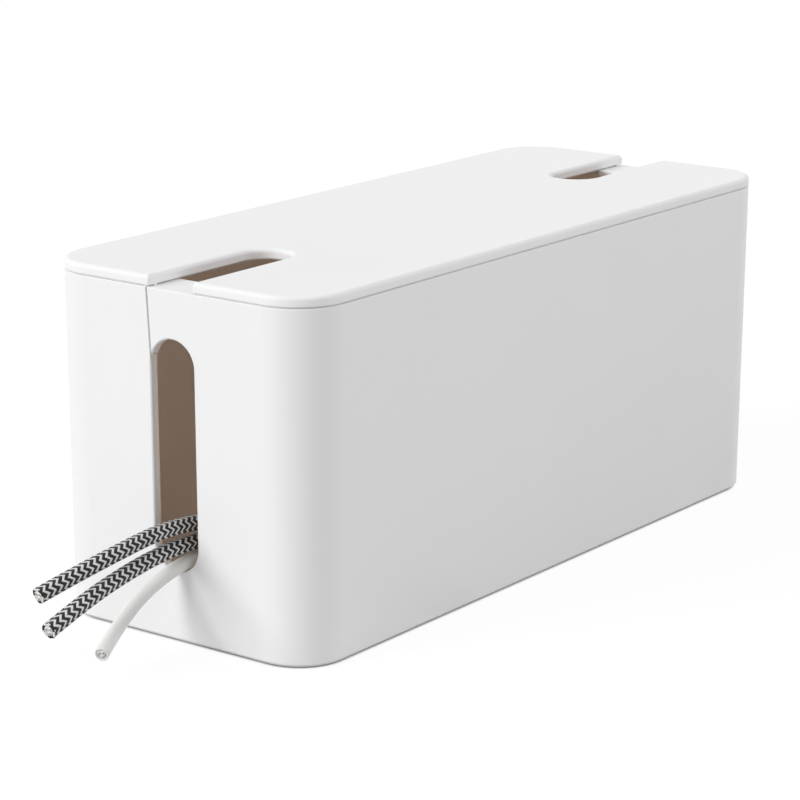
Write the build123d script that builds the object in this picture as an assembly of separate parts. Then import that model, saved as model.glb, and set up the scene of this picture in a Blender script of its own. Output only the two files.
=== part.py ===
"""Cable management box: a drafted open-top housing with a cable slot and a slit gate in each
end wall, a lift-off lid notched over the gates, rubber feet and three cables through one slot.

Millimetres. Origin at the centre of the footprint, on the surface that the feet stand on.
+X runs along the box, -Y is the front, +Z is up. The cables leave the -X end.
"""
import os
from math import radians, tan

from build123d import *

# ---------------------------------------------------------------- driving dimensions
# housing
box_length = 340.0  # over the rim, along X
box_width = 135.0  # over the rim, along Y
body_height = 142.4  # underside of the floor to the rim
corner_radius = 21.7  # plan radius of the upright corners at the rim
draft_angle = 0.5  # degrees, every wall leans in towards the floor
wall = 2.8
floor_thickness = 3.0
base_edge_chamfer = 1.0  # outside edge under the walls
floor_edge_chamfer = 2.5  # inside edge between walls and floor
rim_edge_chamfer = 0.4  # outside edge of the rim

# cable slot in each end wall
slot_width = 22.0
slot_bottom = 28.6  # above the underside of the floor
slot_headroom = 19.4  # from the top of the slot to the rim
slot_edge_chamfer = 0.5  # on both mouths, so that cables don't chafe
collar_depth = 1.6  # lip round the slot, proud of the inside of the wall
collar_width = 2.4

# gate: the bridge between slot and rim, freed on its +Y side by a slit
slit_width = 0.8
slit_lean = 1.7  # how far the slit moves towards +Y on its way up to the rim
shelf_depth = 19.5  # from the end of the rim to the free edge of the shelf
shelf_thickness = 3.0
shelf_overhang = 3.0  # how far the shelf reaches past the slot on its fixed side
shelf_edge_radius = 0.8

# lid
lid_thickness = 4.8
lid_edge_radius = 1.8
lid_skin = 2.4  # plate over the hollow underside
lid_border = 5.2  # solid margin round the outline and the notches
notch_width = 22.0
notch_depth = 68.6  # from the end of the lid to the round end of the notch
notch_mouth_radius = 0.8
shadow_gap = 0.7  # height of the dark line between lid and body
shadow_gap_depth = 1.2
locating_rib_depth = 5.0
locating_rib_thickness = 1.8
locating_clearance = 0.5
lid_rib_count = 5  # cross ribs, the outer ones at the round ends of the notches
lid_rib_thickness = 1.6
lid_rib_relief = 0.5  # gap between the cross ribs and the plane of the rim

# feet
foot_diameter = 14.0
foot_stand = 0.8  # how far the feet stand proud of the floor's underside
foot_pocket_depth = 1.2
foot_pocket_clearance = 0.15
foot_inset = 26.0  # centre of a foot from the rim's side and end planes

# cables
braided_diameter = 6.5
plain_diameter = 5.7
jacket_sides = 10  # flats round a jacket's section
arc_share = 0.45  # share of the shorter run that each arc may use

# ---------------------------------------------------------------- worked out from them
base_z = foot_stand
rim_z = base_z + body_height
draft = tan(radians(draft_angle))
slot_height = body_height - slot_bottom - slot_headroom
slot_top_z = rim_z - slot_headroom
slot_shoulder_z = slot_top_z - slot_width / 2
end_x = box_length / 2
through = 2 * wall + collar_depth + draft * body_height  # long enough to pass an end wall

# Cable routes, from the bare end outside the slot to the end that lies in the box.
UPPER_ROUTE = [
    (-240.6, 6.4, 37.4),
    (-224.0, 3.5, 41.6),
    (-203.0, 0.5, 46.1),
    (-178.0, -1.2, 49.2),
    (-152.0, -1.2, 47.5),
    (-129.0, 2.5, 40.0),
    (-107.0, 8.5, 25.8),
    (-84.0, 15.5, 11.2),
    (-58.0, 21.5, 7.4),
    (-34.0, 24.5, 7.1),
]
LOWER_ROUTE = [
    (-246.4, -4.1, 27.3),
    (-229.0, -3.4, 32.6),
    (-208.0, -2.4, 37.1),
    (-183.0, -1.7, 40.5),
    (-157.0, -1.4, 41.2),
    (-133.0, -2.4, 35.6),
    (-110.0, -4.5, 22.8),
    (-86.0, -5.0, 10.0),
    (-60.0, -2.5, 7.5),
    (-36.0, 2.0, 7.1),
]
PLAIN_ROUTE = [
    (-217.8, -3.9, 9.8),
    (-203.0, 2.0, 14.1),
    (-187.2, 2.9, 24.0),
    (-171.0, 0.9, 32.7),
    (-151.0, -1.1, 34.0),
    (-130.0, -5.8, 26.2),
    (-111.0, -11.5, 14.4),
    (-89.0, -18.5, 7.1),
    (-65.0, -23.0, 6.7),
    (-42.0, -25.0, 6.9),
]


# ---------------------------------------------------------------- shared shapes
def drafted_block(inset, bottom_z, top_z):
    """Tapered block whose sides lie a given inset within the body's outer faces."""
    shrink = inset + (rim_z - bottom_z) * draft
    base = RectangleRounded(box_length - 2 * shrink, box_width - 2 * shrink, corner_radius - shrink)
    return extrude(Pos(0, 0, bottom_z) * base, amount=top_z - bottom_z, taper=-draft_angle)


def bottom_edges(block):
    return block.faces().sort_by(Axis.Z)[0].edges()


def both_ends(shape):
    """The shape made at the +X end, and its mirror image at the -X end."""
    return [shape, mirror(shape, about=Plane.YZ)]


def box_between(low, high):
    size = [b - a for a, b in zip(low, high)]
    centre = [(a + b) / 2 for a, b in zip(low, high)]
    return Pos(*centre) * Box(*size)


# ---------------------------------------------------------------- body
def end_wall_plane(side):
    """Outer face of the end wall on the given side (1 or -1): origin on the rim, local Y up."""
    return Plane(origin=(side * end_x, 0, rim_z), x_dir=(0, side, 0), z_dir=(side, 0, -draft))


def slot_outline(side, margin=0):
    """Upright pill on the end wall's plane, larger than the slot by a margin."""
    centre_drop = slot_headroom + slot_height / 2
    pill = SlotOverall(slot_height + 2 * margin, slot_width + 2 * margin, rotation=90)
    return end_wall_plane(side) * (Pos(0, -centre_drop) * pill)


def slot_cutter(side):
    outline = slot_outline(side)
    return extrude(outline, amount=-through) + extrude(outline, amount=through)


def slot_mouth_edges(body, side):
    """Edges where the slot meets the outside of the wall and the face of its collar."""
    plane = end_wall_plane(side)
    slack = 0.01
    edges = []
    for edge in body.edges():
        spot = plane.to_local_coords(edge @ 0.5)
        on_face = min(abs(spot.Z), abs(spot.Z + wall + collar_depth)) < slack
        in_width = abs(spot.X) < slot_width / 2 + slack
        in_height = slot_headroom - slack < -spot.Y < slot_headroom + slot_height + slack
        if on_face and in_width and in_height:
            edges.append(edge)
    return edges


def gate_shelf():
    """Ledge on top of the gate, level with the rim and rounded along its free edge."""
    shelf = box_between(
        (end_x - shelf_depth, -slot_width / 2 - shelf_overhang, rim_z - shelf_thickness),
        (end_x - wall / 2, slot_width / 2 + slit_lean - slit_width / 2, rim_z),
    )
    free_edges = shelf.faces().sort_by(Axis.X)[0].edges().filter_by(Axis.Y)
    return fillet(free_edges, shelf_edge_radius)


def slit_cutter():
    """Leaning cut from the slot's shoulder up through the rim and the shelf."""
    slot_side = slot_width / 2
    lean_per_mm = slit_lean / (rim_z - slot_shoulder_z)
    overshoot = slit_width
    top_z = rim_z + overshoot
    top_side = slot_side + lean_per_mm * (top_z - slot_shoulder_z)
    outline = Polyline(
        (slot_side - slit_width, slot_shoulder_z),
        (slot_side, slot_shoulder_z),
        (top_side, top_z),
        (top_side - slit_width, top_z),
        close=True,
    )
    reach = shelf_depth + through
    section = Plane(origin=(end_x + wall, 0, 0), x_dir=(0, 1, 0), z_dir=(1, 0, 0)) * make_face(outline)
    return extrude(section, amount=-(reach + wall))


def foot_places():
    x = box_length / 2 - foot_inset
    y = box_width / 2 - foot_inset
    return {
        "foot_front_left": (-x, -y),
        "foot_front_right": (x, -y),
        "foot_rear_left": (-x, y),
        "foot_rear_right": (x, y),
    }


def make_body():
    outer = drafted_block(0, base_z, rim_z)
    outer = chamfer(bottom_edges(outer), base_edge_chamfer)
    outer = chamfer(outer.faces().sort_by(Axis.Z)[-1].edges(), rim_edge_chamfer)
    cavity = drafted_block(wall, base_z + floor_thickness, rim_z + wall)
    cavity = chamfer(bottom_edges(cavity), floor_edge_chamfer)
    body = outer - cavity
    for side in (1, -1):
        body += extrude(slot_outline(side, collar_width), amount=-(wall + collar_depth))
        body -= slot_cutter(side)
        body = chamfer(slot_mouth_edges(body, side), slot_edge_chamfer)
    for shelf, slit in zip(both_ends(gate_shelf()), both_ends(slit_cutter())):
        body += shelf
        body -= slit
    pocket = Cylinder(
        foot_diameter / 2 + foot_pocket_clearance,
        foot_pocket_depth,
        align=(Align.CENTER, Align.CENTER, Align.MIN),
    )
    for x, y in foot_places().values():
        body -= Pos(x, y, base_z) * pocket
    return body


# ---------------------------------------------------------------- lid
def lid_outline():
    """Plan of the lid: the rim's outline less a round-ended notch at each end."""
    plan = RectangleRounded(box_length, box_width, corner_radius)
    centre_x = end_x - notch_depth + notch_width / 2
    straight = box_length / 2
    notch = Pos(centre_x + straight / 2, 0) * Rectangle(straight, notch_width)
    notch += Pos(centre_x, 0) * Circle(notch_width / 2)
    for cut in (notch, mirror(notch, about=Plane.YZ)):
        plan -= cut
    mouths = [v for v in plan.vertices() if abs(v.X) > end_x - 1e-3 and abs(v.Y) < notch_width]
    return fillet(mouths, notch_mouth_radius)


def locating_ring():
    """Rib that drops inside the body's walls, cut away beside the gates."""
    outside = wall + locating_clearance
    inside = outside + locating_rib_thickness
    ring = RectangleRounded(box_length - 2 * outside, box_width - 2 * outside, corner_radius - outside)
    ring -= RectangleRounded(box_length - 2 * inside, box_width - 2 * inside, corner_radius - inside)
    ring &= lid_outline()
    rib_height = locating_rib_depth + lid_thickness - lid_skin
    rib = extrude(Pos(0, 0, rim_z - locating_rib_depth) * ring, amount=rib_height)
    side_gap = 3 * locating_clearance
    gate_window = box_between(
        (end_x - shelf_depth - side_gap, -slot_width / 2 - shelf_overhang - side_gap, rim_z - body_height),
        (end_x, slot_width / 2 + slit_lean + side_gap, rim_z),
    )
    for window in both_ends(gate_window):
        rib -= window
    return rib


def make_lid():
    plan = lid_outline()
    lid = extrude(Pos(0, 0, rim_z) * plan, amount=lid_thickness)
    lid = fillet(lid.faces().sort_by(Axis.Z)[-1].edges(), lid_edge_radius)
    rebate = plan - offset(plan, amount=-shadow_gap_depth)
    lid -= extrude(Pos(0, 0, rim_z) * rebate, amount=shadow_gap)
    hollow_depth = lid_thickness - lid_skin
    hollow_plan = offset(plan, amount=-lid_border)
    hollow = extrude(Pos(0, 0, rim_z) * hollow_plan, amount=hollow_depth)
    rib_span = box_length - 2 * notch_depth
    pitch = rib_span / (lid_rib_count - 1)
    rib_height = hollow_depth - lid_rib_relief
    for index in range(lid_rib_count):
        x = (index - (lid_rib_count - 1) / 2) * pitch
        rib = Box(lid_rib_thickness, box_width, rib_height, align=(Align.CENTER, Align.CENTER, Align.MAX))
        hollow -= Pos(x, 0, rim_z + hollow_depth) * rib
    lid -= hollow
    return lid + locating_ring()


# ---------------------------------------------------------------- feet
def make_foot(x, y):
    """Disc stamped from rubber sheet, seated in its pocket under the floor."""
    height = foot_stand + foot_pocket_depth
    disc = Cylinder(foot_diameter / 2, height, align=(Align.CENTER, Align.CENTER, Align.MIN))
    return Pos(x, y, 0) * disc


# ---------------------------------------------------------------- cables
def arc_radii(route):
    """Largest tangent arc at each corner that leaves its share of both runs straight."""
    points = [Vector(*p) for p in route]
    radii = []
    for before, here, after in zip(points, points[1:], points[2:]):
        arriving = here - before
        leaving = after - here
        half_turn = radians(arriving.get_angle(leaving)) / 2
        radii.append(arc_share * min(arriving.length, leaving.length) / tan(half_turn))
    return radii


def make_cable(name, route, diameter):
    radii = arc_radii(route)
    path = FilletPolyline(*route, radius=radii)
    section = Plane(origin=path @ 0, z_dir=path % 0) * RegularPolygon(diameter / 2, jacket_sides)
    tube = sweep(section, path=path)
    expected = section.area * path.length
    print(name, "length", round(path.length, 1), "volume ratio", round(tube.volume / expected, 4))
    print("  radii", [round(r) for r in radii])
    return tube


# ---------------------------------------------------------------- export
def make_all():
    parts = {"body": make_body(), "lid": make_lid()}
    for name, (x, y) in foot_places().items():
        parts[name] = make_foot(x, y)
    parts["cable_braided_upper"] = make_cable("cable_braided_upper", UPPER_ROUTE, braided_diameter)
    parts["cable_braided_lower"] = make_cable("cable_braided_lower", LOWER_ROUTE, braided_diameter)
    parts["cable_plain"] = make_cable("cable_plain", PLAIN_ROUTE, plain_diameter)
    return parts


os.makedirs("parts", exist_ok=True)
for node, shape in make_all().items():
    export_step(shape, f"parts/{node}.step")
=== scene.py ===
"""Looks of the cable management box: moulded housing and lid, rubber feet and three cut cables.

Metres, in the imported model's frame: +X runs along the box, -Y is the front, +Z is up and the
origin lies on the table under the middle of the box. The cables leave the -X end.
"""
import random
from math import cos, radians, sin, tau
from typing import NamedTuple

import bmesh
import bpy
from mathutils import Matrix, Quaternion, Vector


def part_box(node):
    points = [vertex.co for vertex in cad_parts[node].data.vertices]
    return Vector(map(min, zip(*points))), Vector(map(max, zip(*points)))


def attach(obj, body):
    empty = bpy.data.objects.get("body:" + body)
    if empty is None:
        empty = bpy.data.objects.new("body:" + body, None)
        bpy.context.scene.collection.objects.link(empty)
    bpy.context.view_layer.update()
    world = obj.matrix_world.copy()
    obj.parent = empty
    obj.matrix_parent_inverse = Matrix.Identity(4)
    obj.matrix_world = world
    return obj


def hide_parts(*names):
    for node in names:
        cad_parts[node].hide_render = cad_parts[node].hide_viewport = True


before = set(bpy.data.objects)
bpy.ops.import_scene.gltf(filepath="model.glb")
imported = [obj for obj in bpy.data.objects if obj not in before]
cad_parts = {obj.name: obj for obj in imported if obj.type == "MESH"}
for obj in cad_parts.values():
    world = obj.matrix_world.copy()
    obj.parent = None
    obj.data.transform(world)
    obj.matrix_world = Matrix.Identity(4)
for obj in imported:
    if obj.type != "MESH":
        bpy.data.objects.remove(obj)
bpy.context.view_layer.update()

BODY_LOW, BODY_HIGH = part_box("body")

# ---------------------------------------------------------------- sizes shared with the solids
WALL = 0.0028
FLOOR = 0.003
CORNER_RADIUS = 0.0217
DRAFT_SLOPE = 0.0087  # lean of the walls, sideways per unit of height
BRAIDED_DIAMETER = 0.0065
PLAIN_DIAMETER = 0.0057

# Cable routes, from the bare end outside the slot to the end that lies in the box. Where they cross
# the slot, their points lie up to 4 mm off the solids' own, as the photograph shows the cables.
UPPER_ROUTE = [
    (-0.2406, 0.0064, 0.0374),
    (-0.2240, 0.0035, 0.0416),
    (-0.2030, 0.0005, 0.0459),
    (-0.1780, -0.0006, 0.0490),
    (-0.1520, -0.0020, 0.0472),
    (-0.1290, 0.0025, 0.0405),
    (-0.1070, 0.0085, 0.0258),
    (-0.0840, 0.0155, 0.0112),
    (-0.0580, 0.0215, 0.0074),
    (-0.0340, 0.0245, 0.0071),
]
LOWER_ROUTE = [
    (-0.2464, -0.0041, 0.0273),
    (-0.2290, -0.0034, 0.0323),
    (-0.2080, -0.0024, 0.0366),
    (-0.1830, -0.0018, 0.0401),
    (-0.1570, -0.0020, 0.0406),
    (-0.1330, -0.0024, 0.0355),
    (-0.1100, -0.0045, 0.0228),
    (-0.0860, -0.0050, 0.0100),
    (-0.0600, -0.0025, 0.0075),
    (-0.0360, 0.0020, 0.0071),
]
PLAIN_ROUTE = [
    (-0.2178, -0.0039, 0.0098),
    (-0.2030, 0.0022, 0.0143),
    (-0.1872, 0.0025, 0.0245),
    (-0.1710, -0.0028, 0.0335),
    (-0.1510, -0.0028, 0.0336),
    (-0.1300, -0.0058, 0.0262),
    (-0.1110, -0.0115, 0.0144),
    (-0.0890, -0.0185, 0.0071),
    (-0.0650, -0.0230, 0.0067),
    (-0.0420, -0.0250, 0.0069),
]

# ---------------------------------------------------------------- camera
VIEW_AZIMUTH = radians(-53.275)
VIEW_ELEVATION = radians(14.680)
VIEW_ROLL = radians(0.11)
VIEW_DISTANCE = 1.282
VIEW_TARGET = Vector((0.00604, 0.02092, 0.05975))
LENS_MM = 130.2
SENSOR_MM = 36.0


def make_camera():
    data = bpy.data.cameras.new("camera")
    data.lens = LENS_MM
    data.sensor_width = SENSOR_MM
    camera = bpy.data.objects.new("camera", data)
    bpy.context.scene.collection.objects.link(camera)
    level = cos(VIEW_ELEVATION)
    back = Vector((sin(VIEW_AZIMUTH) * level, -cos(VIEW_AZIMUTH) * level, sin(VIEW_ELEVATION)))
    camera.location = VIEW_TARGET + back * VIEW_DISTANCE
    aim = (-back).to_track_quat("-Z", "Y")
    camera.rotation_euler = (aim @ Quaternion((0, 0, 1), VIEW_ROLL)).to_euler()
    bpy.context.scene.camera = camera


make_camera()

# ---------------------------------------------------------------- node helpers
NOISE_SPAN = 0.3, 0.7  # where most of a noise's values lie
MIX_FIRST, MIX_SECOND, MIX_RESULT = 6, 7, 2  # the Mix node's sockets for colours


class Nodes:
    """Short calls for the nodes of one tree."""

    def __init__(self, tree):
        self.tree = tree

    def node(self, kind, inputs=None, **settings):
        made = self.tree.nodes.new("ShaderNode" + kind)
        for name, value in settings.items():
            setattr(made, name, value)
        for name, value in (inputs or {}).items():
            self.put(made.inputs[name], value)
        return made

    def put(self, socket, value):
        if isinstance(value, bpy.types.NodeSocket):
            self.tree.links.new(value, socket)
        else:
            socket.default_value = value

    def math(self, operation, first, second=0.0, third=0.0):
        values = {0: first, 1: second, 2: third}
        return self.node("Math", values, operation=operation).outputs[0]

    def between(self, value, low, high, to_low=0.0, to_high=1.0, smooth=False):
        """The value's place between low and high, carried over to another range."""
        inputs = {"Value": value, "From Min": low, "From Max": high}
        inputs.update({"To Min": to_low, "To Max": to_high})
        kind = "SMOOTHSTEP" if smooth else "LINEAR"
        return self.node("MapRange", inputs, interpolation_type=kind).outputs["Result"]

    def spread(self, noise, low, high):
        """A noise's usual values, carried over to the range from low to high."""
        return self.between(noise, *NOISE_SPAN, low, high)

    def mix(self, factor, first, second):
        inputs = {"Factor": factor, MIX_FIRST: first, MIX_SECOND: second}
        return self.node("Mix", inputs, data_type="RGBA").outputs[MIX_RESULT]

    def position(self):
        return self.node("TexCoord").outputs["Object"]

    def axes(self, vector):
        """The x, y and z of a vector."""
        return self.node("SeparateXYZ", {"Vector": vector}).outputs

    def noise(self, coordinates, scale, detail=2.0):
        inputs = {"Vector": coordinates, "Scale": scale, "Detail": detail}
        return self.node("TexNoise", inputs).outputs["Fac"]

    def bump(self, height, distance, strength=1.0, normal=None):
        inputs = {"Height": height, "Distance": distance, "Strength": strength}
        if normal is not None:
            inputs["Normal"] = normal
        return self.node("Bump", inputs).outputs["Normal"]

    def shown(self):
        """1 for the rays that show the stage itself, 0 for those that light the object with it."""
        rays = self.node("LightPath").outputs
        seen = self.math("MAXIMUM", rays["Is Camera Ray"], rays["Is Glossy Ray"])
        return self.math("MAXIMUM", seen, rays["Is Transmission Ray"])


class Finish(Nodes):
    """A material, with the nodes that make its look."""

    def __init__(self, name):
        self.material = bpy.data.materials.new(name)
        self.material.use_nodes = True
        super().__init__(self.material.node_tree)
        self.shader = self.tree.nodes["Principled BSDF"]

    def set(self, **values):
        for name, value in values.items():
            self.put(self.shader.inputs[name.replace("_", " ")], value)


def srgb(red, green, blue):
    """Linear colour of an 8-bit sRGB triple."""
    linear = [
        (c / 255 + 0.055) ** 2.4 / 1.055**2.4 if c > 10 else c / 255 / 12.92
        for c in (red, green, blue)
    ]
    return (*linear, 1.0)


# ---------------------------------------------------------------- plastic and rubber
TONE_SCALE = 9.0  # of the noises, in waves per metre
GLOSS_SCALE = 40.0
PORE_SCALE = 1800.0
GRAIN_SIZE = 0.0004
GRAIN_DEPTH = 0.00003
PORE_DEPTH = 0.00006
EDGE_SOFTNESS = 0.0005
EDGE_SAMPLES = 6
# Painted shade: these spans fade in the warm tint that stands in for the brown cast of the shaded
# inside.
# Where the housing's outside starts to give way to its inside, and where it has done so.
WALL_BLEND = 0.35 * WALL, 0.95 * WALL  # in from the outer wall
FLOOR_BLEND = 0.4 * FLOOR, 0.8 * FLOOR  # up from the underside
RIM_BLEND = 0.0006, 0.0022  # down from the rim


def depth_in_outline(finish, position):
    """How far a point lies inside the housing's outer wall, sideways."""
    x, y, z = finish.axes(position)
    lean = finish.math("MULTIPLY", finish.math("SUBTRACT", BODY_HIGH.z, z), DRAFT_SLOPE)
    reach = []
    for coordinate, half in ((x, BODY_HIGH.x), (y, BODY_HIGH.y)):
        outward = finish.math("ADD", finish.math("ABSOLUTE", coordinate), lean)
        reach.append(finish.math("SUBTRACT", outward, half - CORNER_RADIUS))
    beyond = [finish.math("MAXIMUM", each, 0.0) for each in reach]
    squares = [finish.math("MULTIPLY", each, each) for each in beyond]
    rounded = finish.math("SQRT", finish.math("ADD", *squares))
    flat = finish.math("MINIMUM", finish.math("MAXIMUM", *reach), 0.0)
    return finish.math("SUBTRACT", CORNER_RADIUS, finish.math("ADD", rounded, flat))


def inside_tint_mask(finish, position):
    """0 on the housing's outside, rising through the wall's thickness to 1 on its inside, where the
    painted warm shade tint lies.
    """
    z = finish.axes(position)[2]
    depth = depth_in_outline(finish, position)
    through_wall = finish.between(depth, *WALL_BLEND, smooth=True)
    over_floor = finish.between(z, *(BODY_LOW.z + rise for rise in FLOOR_BLEND))
    under_rim = finish.between(z, *(BODY_HIGH.z - drop for drop in RIM_BLEND))
    return finish.math("MULTIPLY", through_wall, finish.math("MULTIPLY", over_floor, under_rim))


def moulded_plastic(name, white, other_white, gloss, painted_inside_tint=None):
    """Satin moulded plastic with a fine spark-eroded grain, and, if one is given, a warm tint
    painted on the inside for the brown cast of its shade.
    """
    finish = Finish(name)
    position = finish.position()
    tone = finish.mix(finish.noise(position, TONE_SCALE), white, other_white)
    # Painted shade: a warm tint on the inside stands in for the brown cast of its shade; the
    # dimming itself comes from the light's bounces.
    if painted_inside_tint is not None:
        tone = finish.mix(inside_tint_mask(finish, position), tone, painted_inside_tint)
    bevel = finish.node("Bevel", {"Radius": EDGE_SOFTNESS}, samples=EDGE_SAMPLES)
    grain = finish.noise(position, 1 / GRAIN_SIZE, detail=3.0)
    finish.set(
        Base_Color=tone,
        Roughness=finish.spread(finish.noise(position, GLOSS_SCALE), 0.44, 0.54),
        Specular_IOR_Level=gloss,
        Normal=finish.bump(grain, GRAIN_DEPTH, strength=0.35, normal=bevel.outputs["Normal"]),
    )
    return finish.material


def rubber():
    finish = Finish("foot_rubber")
    pores = finish.noise(finish.position(), PORE_SCALE, detail=4.0)
    finish.set(
        Base_Color=finish.mix(pores, srgb(96, 96, 98), srgb(124, 124, 126)),
        Roughness=finish.spread(pores, 0.72, 0.86),
        Normal=finish.bump(pores, PORE_DEPTH, strength=0.5),
    )
    return finish.material


# ---------------------------------------------------------------- cable materials
BRAID_PITCH = 0.0032  # one dark and one light band, along the cable
BRAID_LEGS = 12  # straight legs of the zigzag round the cable
BRAID_TURN = 0.40  # where the zigzag's corners lie, in legs
BRAID_SWING = 0.0019  # how far a leg climbs along the cable
DARK_SHARE = 0.60  # of a pair of bands
BAND_WANDER = 0.12  # how far the bands run unevenly, in pairs of bands
EDGE_WANDER = 0.10  # how far a band's edge is frayed, from side to side, likewise
EDGE_BLEND = 0.02  # half of what an edge takes to change colour, likewise
FILAMENTS = 3  # yarn ridges in one band
FUZZ_SHARE = 0.6  # of the fuzz in the yarns' bumps, against 1 for the ridges
YARN_BUMP = 0.00012
JACKET_BUMP = 0.00004
WANDER_SCALE = 600.0  # of the noises, in waves per metre
FUZZ_SCALE = 3500.0
SKIN_SCALE = 900.0
JACKET_TONE_SCALE = 60.0
SPECKLE_SCALE = 4000.0


def braid_phase(finish):
    """How many band pairs along the zigzag braid a point lies, from the jacket's own UV map."""
    around, along, _ = finish.axes(finish.node("UVMap").outputs["UV"])
    legs = finish.math("MULTIPLY_ADD", around, BRAID_LEGS, BRAID_TURN)
    swing = finish.math("MULTIPLY", finish.math("PINGPONG", legs, 1.0), BRAID_SWING / BRAID_PITCH)
    uneven = finish.noise(finish.position(), WANDER_SCALE, detail=1.0)
    wander = finish.between(uneven, 0.0, 1.0, -BAND_WANDER, BAND_WANDER)
    place = finish.math("ADD", finish.math("DIVIDE", along, BRAID_PITCH), wander)
    return finish.math("ADD", place, swing)


def textile_braid():
    finish = Finish("textile_braid")
    phase = braid_phase(finish)
    from_middle = finish.math("SUBTRACT", finish.math("FRACT", phase), 0.5)
    fuzz = finish.noise(finish.position(), FUZZ_SCALE, detail=3.0)
    frayed = finish.math("MULTIPLY", finish.math("SUBTRACT", fuzz, 0.5), EDGE_WANDER)
    edge = finish.math("ADD", finish.math("ABSOLUTE", from_middle), frayed)
    light = finish.between(edge, DARK_SHARE / 2 - EDGE_BLEND, DARK_SHARE / 2 + EDGE_BLEND)
    dark_yarn = finish.mix(fuzz, srgb(8, 7, 9), srgb(32, 30, 32))
    light_yarn = finish.mix(fuzz, srgb(216, 215, 214), srgb(246, 245, 244))
    waves = finish.math("SINE", finish.math("MULTIPLY", phase, tau * FILAMENTS))
    fuzz_relief = finish.math("MULTIPLY", fuzz, FUZZ_SHARE)
    relief = finish.math("ADD", finish.math("ABSOLUTE", waves), fuzz_relief)
    finish.set(
        Base_Color=finish.mix(light, dark_yarn, light_yarn),
        Roughness=finish.between(fuzz, 0.2, 0.8, 0.74, 0.92),
        Sheen_Weight=0.15,
        Normal=finish.bump(relief, YARN_BUMP, strength=0.8),
    )
    return finish.material


def cable_jacket():
    finish = Finish("cable_jacket")
    position = finish.position()
    skin = finish.noise(position, SKIN_SCALE, detail=3.0)
    patches = finish.noise(position, JACKET_TONE_SCALE)
    finish.set(
        Base_Color=finish.mix(patches, srgb(242, 242, 240), srgb(236, 236, 233)),
        Roughness=finish.spread(skin, 0.40, 0.52),
        Normal=finish.bump(skin, JACKET_BUMP, strength=0.4),
    )
    return finish.material


CUT_FINISHES = {  # two tones that speckle each other, roughness, metallic
    "cut_filler": (srgb(186, 185, 182), srgb(228, 227, 224), 0.8, 0.0),
    "cut_cotton": (srgb(214, 213, 210), srgb(246, 245, 243), 0.9, 0.0),
    "core_insulation": (srgb(228, 228, 226), srgb(244, 244, 242), 0.45, 0.0),
    "wire_strands": (srgb(140, 136, 131), srgb(190, 186, 180), 0.4, 0.6),
    "dark_yarn": (srgb(20, 19, 21), srgb(44, 42, 44), 0.9, 0.0),
    "light_yarn": (srgb(210, 209, 208), srgb(244, 243, 242), 0.9, 0.0),
}


def cut_finish(name):
    """Look of one kind of small part in a cut end."""
    tone, other, roughness, metallic = CUT_FINISHES[name]
    finish = Finish(name)
    speckle = finish.noise(finish.position(), SPECKLE_SCALE)
    speckled = finish.mix(speckle, tone, other)
    finish.set(Base_Color=speckled, Roughness=roughness, Metallic=metallic)
    return finish.material


# ---------------------------------------------------------------- cables
SPLINE_ORDER = 3  # quadratic


class Line:
    """A cable's smooth centreline as its NURBS spline gives it, with a frame at each point."""

    def __init__(self, route, points_per_span):
        self.points = self.spline_points(route, points_per_span)
        self.stations = [0.0]
        for a, b in zip(self.points, self.points[1:]):
            self.stations.append(self.stations[-1] + (b - a).length)
        self.length = self.stations[-1]
        self.frames = self.parallel_frames()

    @staticmethod
    def spline_points(route, points_per_span):
        curve = bpy.data.curves.new("route", "CURVE")
        curve.dimensions = "3D"
        curve.resolution_u = points_per_span
        spline = curve.splines.new("NURBS")
        spline.points.add(len(route) - 1)
        for point, place in zip(spline.points, route):
            point.co = (*place, 1.0)
        spline.order_u = SPLINE_ORDER
        spline.use_endpoint_u = True
        holder = bpy.data.objects.new("route", curve)
        mesh = bpy.data.meshes.new_from_object(holder)
        points = [v.co.copy() for v in mesh.vertices]
        bpy.data.objects.remove(holder)
        bpy.data.curves.remove(curve)
        bpy.data.meshes.remove(mesh)
        return points

    def parallel_frames(self):
        """(tangent, side, up) at each point, turning as little as the line allows."""
        last = len(self.points) - 1
        side = Vector((0, 1, 0))
        frames = []
        for i in range(last + 1):
            tangent = (self.points[min(i + 1, last)] - self.points[max(i - 1, 0)]).normalized()
            side = (side - tangent * side.dot(tangent)).normalized()
            frames.append((tangent, side, tangent.cross(side)))
        return frames

    def cut_face(self, at_start):
        """Centre of a cut face, and its frame with the tangent pointing into the cable."""
        index, inward = (0, 1) if at_start else (-1, -1)
        tangent, side, up = self.frames[index]
        return self.points[index], (tangent * inward, side, up * inward)


class Surface(NamedTuple):
    """How a cable's outside is built: its relief is asked for at (turn round it, way along it)."""

    points_per_span: int
    sides: int
    height: object
    material: object
    stretch: float = 1.0  # of the braid, along the cable


def across(axes, angle):
    """Direction across a cable, at an angle round its (tangent, side, up)."""
    return axes[1] * cos(angle) + axes[2] * sin(angle)


def new_piece(name, bm, materials):
    mesh = bpy.data.meshes.new(name)
    bm.to_mesh(mesh)
    bm.free()
    for polygon in mesh.polygons:
        polygon.use_smooth = True
    piece = bpy.data.objects.new(name, mesh)
    bpy.context.scene.collection.objects.link(piece)
    for material in materials:
        mesh.materials.append(material)
    return piece


BRAID_RELIEF = 0.00016
CROWN_POWER = 0.6  # below 1, so the yarns are flatter than round ones
CORNER_RELIEF = 0.55  # share of the crown's height that is left at a zigzag's corner
CORNER_RISE = 2.2  # how fast that share grows with the way from the corner, per leg


def pingpong(value):
    """Triangle wave between 0 and 1 with a period of 2."""
    value %= 2.0
    return 2.0 - value if value > 1.0 else value


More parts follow.
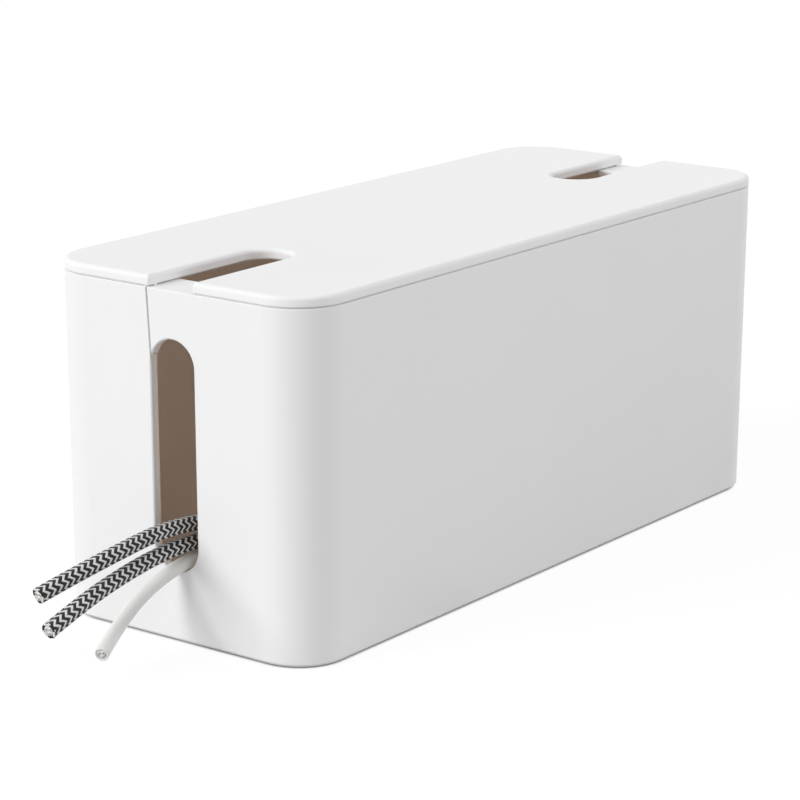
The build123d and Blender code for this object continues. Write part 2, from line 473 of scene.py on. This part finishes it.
def braid_height(around, along):
    """How far the yarns stand in from the braid's outermost skin."""
    zigzag = pingpong(around * BRAID_LEGS + BRAID_TURN)
    phase = (along + zigzag * BRAID_SWING) / BRAID_PITCH
    crown = abs(cos(tau * phase)) ** CROWN_POWER
    corner = min(zigzag, 1 - zigzag)
    tuck = min(1.0, CORNER_RELIEF + CORNER_RISE * corner)
    return BRAID_RELIEF * (crown * tuck - 1.0)


def smooth_height(around, along):
    return 0.0


def jacket(name, line, radius, surface, bore):
    """Tube with a surface relief, open at both cut ends, where its wall shows down to the bore."""
    sides = surface.sides
    rows = list(zip(line.points, line.frames, line.stations))
    # A ring is a row of the line, a radius if the relief doesn't give it, and a shift along it.
    rings = [(rows[0], bore, radius), (rows[0], bore, 0.0)]
    rings += [(row, None, 0.0) for row in rows]
    rings += [(rows[-1], bore, 0.0), (rows[-1], bore, -radius)]
    bm = bmesh.new()
    layer = bm.loops.layers.uv.new("jacket")
    verts, along = [], []
    for (point, axes, station), fixed, shift in rings:
        centre = point + axes[0] * shift
        along.append(station / surface.stretch)
        ring = []
        for k in range(sides):
            reach = radius + surface.height(k / sides, along[-1]) if fixed is None else fixed
            ring.append(bm.verts.new(centre + across(axes, tau * k / sides) * reach))
        verts.append(ring)
    for i in range(len(rings) - 1):
        for k in range(sides):
            n = (k + 1) % sides
            face = bm.faces.new((verts[i][k], verts[i + 1][k], verts[i + 1][n], verts[i][n]))
            places = ((k, i), (k, i + 1), (k + 1, i + 1), (k + 1, i))
            for loop, (turn, row) in zip(face.loops, places):
                loop[layer].uv = (turn / sides, along[row])
    bmesh.ops.recalc_face_normals(bm, faces=bm.faces)
    return new_piece(name, bm, [surface.material])


def disc(bm, centre, axes, radius, depth, sides, slot, dome=0.0):
    """Short capped cylinder that starts at a centre on the cut face and runs into the cable."""
    tangent = axes[0]
    rim, back = [], []
    for k in range(sides):
        offset = across(axes, tau * k / sides) * radius
        rim.append(bm.verts.new(centre + offset))
        back.append(bm.verts.new(centre + offset + tangent * depth))
    peak = bm.verts.new(centre - tangent * dome)
    hidden = bm.verts.new(centre + tangent * depth)
    for k in range(sides):
        n = (k + 1) % sides
        front_face = rim[k], rim[n], peak
        side_face = rim[k], back[k], back[n], rim[n]
        back_face = back[k], hidden, back[n]
        for corners in (front_face, side_face, back_face):
            bm.faces.new(corners).material_index = slot


BORE_SHARE = 0.74  # of a cable's radius
FILLER_SLOT, CORE_SLOT, STRAND_SLOT = 0, 1, 2
FILLER_SIDES, CORE_SIDES, STRAND_SIDES = 32, 24, 8
# Shares of the bore's radius, except where another one is named.
FILLER_RADIUS = 0.995
FILLER_SINK = 0.08
CORE_COUNT = 3
CORE_TURN = 0.2  # of the way from one core to the next
CORE_RING = 0.52
CORE_RADIUS = 0.40
CORE_DEPTH = 0.8
CORE_DOME = 0.03
STRAND_COUNT = 7  # one of them in the middle
STRAND_RING = 0.36  # of a core's radius
STRAND_RADIUS = 0.17  # of a core's radius
STRAND_STAND = 0.09
STRAND_DEPTH = 0.5
STRAND_DOME = 0.02


def cut_end(name, line, at_start, bore, materials):
    """Filler, insulated cores and wire strands that show in a cut end."""
    face, axes = line.cut_face(at_start)
    tangent = axes[0]
    bm = bmesh.new()
    filler_face = face + tangent * FILLER_SINK * bore
    disc(bm, filler_face, axes, bore * FILLER_RADIUS, bore, FILLER_SIDES, FILLER_SLOT)
    core_radius, core_depth = CORE_RADIUS * bore, bore * CORE_DEPTH
    strand_radius, strand_depth = STRAND_RADIUS * core_radius, bore * STRAND_DEPTH
    for core in range(CORE_COUNT):
        angle = tau * (core + CORE_TURN) / CORE_COUNT
        centre = face + across(axes, angle) * CORE_RING * bore
        dome = CORE_DOME * bore
        disc(bm, centre, axes, core_radius, core_depth, CORE_SIDES, CORE_SLOT, dome)
        for strand in range(STRAND_COUNT):
            turn = tau * strand / (STRAND_COUNT - 1)
            spread = 0.0 if strand == STRAND_COUNT - 1 else STRAND_RING * core_radius
            spot = centre + across(axes, turn) * spread - tangent * STRAND_STAND * bore
            dome = STRAND_DOME * bore
            disc(bm, spot, axes, strand_radius, strand_depth, STRAND_SIDES, STRAND_SLOT, dome)
    bmesh.ops.recalc_face_normals(bm, faces=bm.faces)
    return new_piece(name, bm, materials)


DARK_SLOT, LIGHT_SLOT = 0, 1
YARN_ENDS = 30
YARN_GROUP = 5  # ends of one colour side by side
YARN_SIDES = 8
YARN_JITTER = 0.3  # of the way to the next end
# Shares of the cable's radius.
YARN_REACH = 0.78, 0.90
YARN_STAND = 0.01, 0.08
YARN_RADIUS = 0.14
YARN_DEPTH = 0.4
YARN_DOME = 0.04


def yarn_fringe(name, line, at_start, radius, materials):
    """Cut ends of the dark and light yarns, standing a little out of the braid's edge."""
    chance = random.Random(name)
    face, axes = line.cut_face(at_start)
    bm = bmesh.new()
    for end in range(YARN_ENDS):
        angle = tau * (end + chance.uniform(-YARN_JITTER, YARN_JITTER)) / YARN_ENDS
        reach = radius * chance.uniform(*YARN_REACH)
        stand = radius * chance.uniform(*YARN_STAND)
        spot = face + across(axes, angle) * reach - axes[0] * stand
        slot = DARK_SLOT if (end // YARN_GROUP) % 2 == 0 else LIGHT_SLOT
        size, depth, dome = (radius * share for share in (YARN_RADIUS, YARN_DEPTH, YARN_DOME))
        disc(bm, spot, axes, size, depth, YARN_SIDES, slot, dome)
    bmesh.ops.recalc_face_normals(bm, faces=bm.faces)
    return new_piece(name, bm, materials)


def make_cable(name, route, diameter, surface, end_materials, yarns=None):
    line = Line(route, surface.points_per_span)
    radius = diameter / 2
    bore = radius * BORE_SHARE
    tube = jacket(f"{name}_jacket", line, radius, surface, bore)
    ends = [
        cut_end(f"{name}_cut_outer", line, True, bore, end_materials),
        cut_end(f"{name}_cut_inner", line, False, bore, end_materials),
    ]
    if yarns is not None:
        ends.append(yarn_fringe(f"{name}_fringe_outer", line, True, radius, yarns))
        ends.append(yarn_fringe(f"{name}_fringe_inner", line, False, radius, yarns))
    for piece in (tube, *ends):
        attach(piece, "box")
    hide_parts(name)
    return tube


BRAIDED_MESH = 80, 72  # points per span of the route, sides round the cable
PLAIN_MESH = 24, 48
BRAIDED_CABLES = {  # each one's route and its braid's stretch
    "cable_braided_upper": (UPPER_ROUTE, 0.96),
    "cable_braided_lower": (LOWER_ROUTE, 1.06),
}


def make_cables():
    braid = textile_braid()
    cut = {name: cut_finish(name) for name in CUT_FINISHES}
    cores = [cut["core_insulation"], cut["wire_strands"]]
    yarns = [cut["dark_yarn"], cut["light_yarn"]]
    for name, (route, stretch) in BRAIDED_CABLES.items():
        surface = Surface(*BRAIDED_MESH, braid_height, braid, stretch)
        end_materials = [cut["cut_cotton"], *cores]
        tube = make_cable(name, route, BRAIDED_DIAMETER, surface, end_materials, yarns)
    surface = Surface(*PLAIN_MESH, smooth_height, cable_jacket())
    end_materials = [cut["cut_filler"], *cores]
    tube = make_cable("cable_plain", PLAIN_ROUTE, PLAIN_DIAMETER, surface, end_materials)


make_cables()


# ---------------------------------------------------------------- finishes of the solids
def dress_solids():
    shell_whites = srgb(241, 241, 242), srgb(238, 238, 238)
    cover_whites = srgb(243, 243, 244), srgb(240, 240, 240)
    # Painted shade: a warm tint for the housing's inside, standing in for the brown cast that its
    # shade takes on.
    inside_shade_tint = srgb(253, 245, 237)
    finishes = {
        "body": moulded_plastic("shell_plastic", *shell_whites, gloss=0.4, painted_inside_tint=inside_shade_tint),
        "lid": moulded_plastic("cover_plastic", *cover_whites, gloss=0.2),
        "foot": rubber(),
    }
    for name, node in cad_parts.items():
        kind = name.split("_")[0]
        if kind in finishes:
            node.data.materials[0] = finishes[kind]


dress_solids()

# ---------------------------------------------------------------- stage and light
WHITE = 1.0, 1.0, 1.0, 1.0
STAGE_HALF = 3.0
STAGE_GREY = 0.60, 0.60, 0.60, 1.0
STAGE_GLOW = 1.12
GLOW_SHARE = 0.80  # of what the camera sees of the floor; the rest takes shadows
CONTACT_BLEND = 0.0002, 0.0022  # in from the box's outline, where the glow fades out
AMBIENT = 0.597
MAX_BOUNCES = 20
DIFFUSE_BOUNCES = 16  # enough for the light that fills the housing
SUN_SOFTNESS = radians(30)
SUNS = {  # each one's direction and strength
    "key": ((-0.80, 0.42, 0.43), 1.72),
    "fill": ((0.62, -0.68, 0.39), 0.57),
    "top": ((0.30, -0.12, 0.95), 0.17),
}


def make_floor():
    """White to the camera, with the shadows that fall on it; under the box it doesn't glow."""
    bm = bmesh.new()
    corners = (-1, -1), (1, -1), (1, 1), (-1, 1)
    bm.faces.new([bm.verts.new((x * STAGE_HALF, y * STAGE_HALF, 0.0)) for x, y in corners])
    finish = Finish("floor")
    finish.set(Base_Color=STAGE_GREY, Roughness=0.9, Specular_IOR_Level=0.0)
    glow = finish.node("Emission", {"Color": WHITE, "Strength": STAGE_GLOW})
    depth = depth_in_outline(finish, finish.position())
    clear = finish.between(depth, *CONTACT_BLEND, 1.0, 0.0)
    share = finish.math("MULTIPLY", finish.math("MULTIPLY", finish.shown(), GLOW_SHARE), clear)
    blend = finish.node("MixShader", {0: share, 1: finish.shader.outputs[0], 2: glow.outputs[0]})
    finish.put(finish.tree.nodes["Material Output"].inputs["Surface"], blend.outputs[0])
    floor = new_piece("floor", bm, [finish.material])


def make_world():
    """White to the camera and in reflections, an even soft light to everything else."""
    world = bpy.data.worlds.new("studio")
    bpy.context.scene.world = world
    world.use_nodes = True
    sky = Nodes(world.node_tree)
    sky.tree.nodes.clear()
    strength = sky.between(sky.shown(), 0.0, 1.0, AMBIENT, 1.0)
    background = sky.node("Background", {"Color": WHITE, "Strength": strength})
    sky.node("OutputWorld", {"Surface": background.outputs[0]})


def soft_sun(name, direction, strength):
    data = bpy.data.lights.new(name, "SUN")
    data.energy = strength
    data.angle = SUN_SOFTNESS
    lamp = bpy.data.objects.new(name, data)
    bpy.context.scene.collection.objects.link(lamp)
    lamp.rotation_euler = (-Vector(direction)).to_track_quat("-Z", "Y").to_euler()


def light_stage():
    make_floor()
    make_world()
    for name, (direction, strength) in SUNS.items():
        soft_sun(name, direction, strength)
    bpy.context.scene.cycles.max_bounces = MAX_BOUNCES
    bpy.context.scene.cycles.diffuse_bounces = DIFFUSE_BOUNCES


light_stage()
bpy.context.scene.view_settings.view_transform = "Standard"
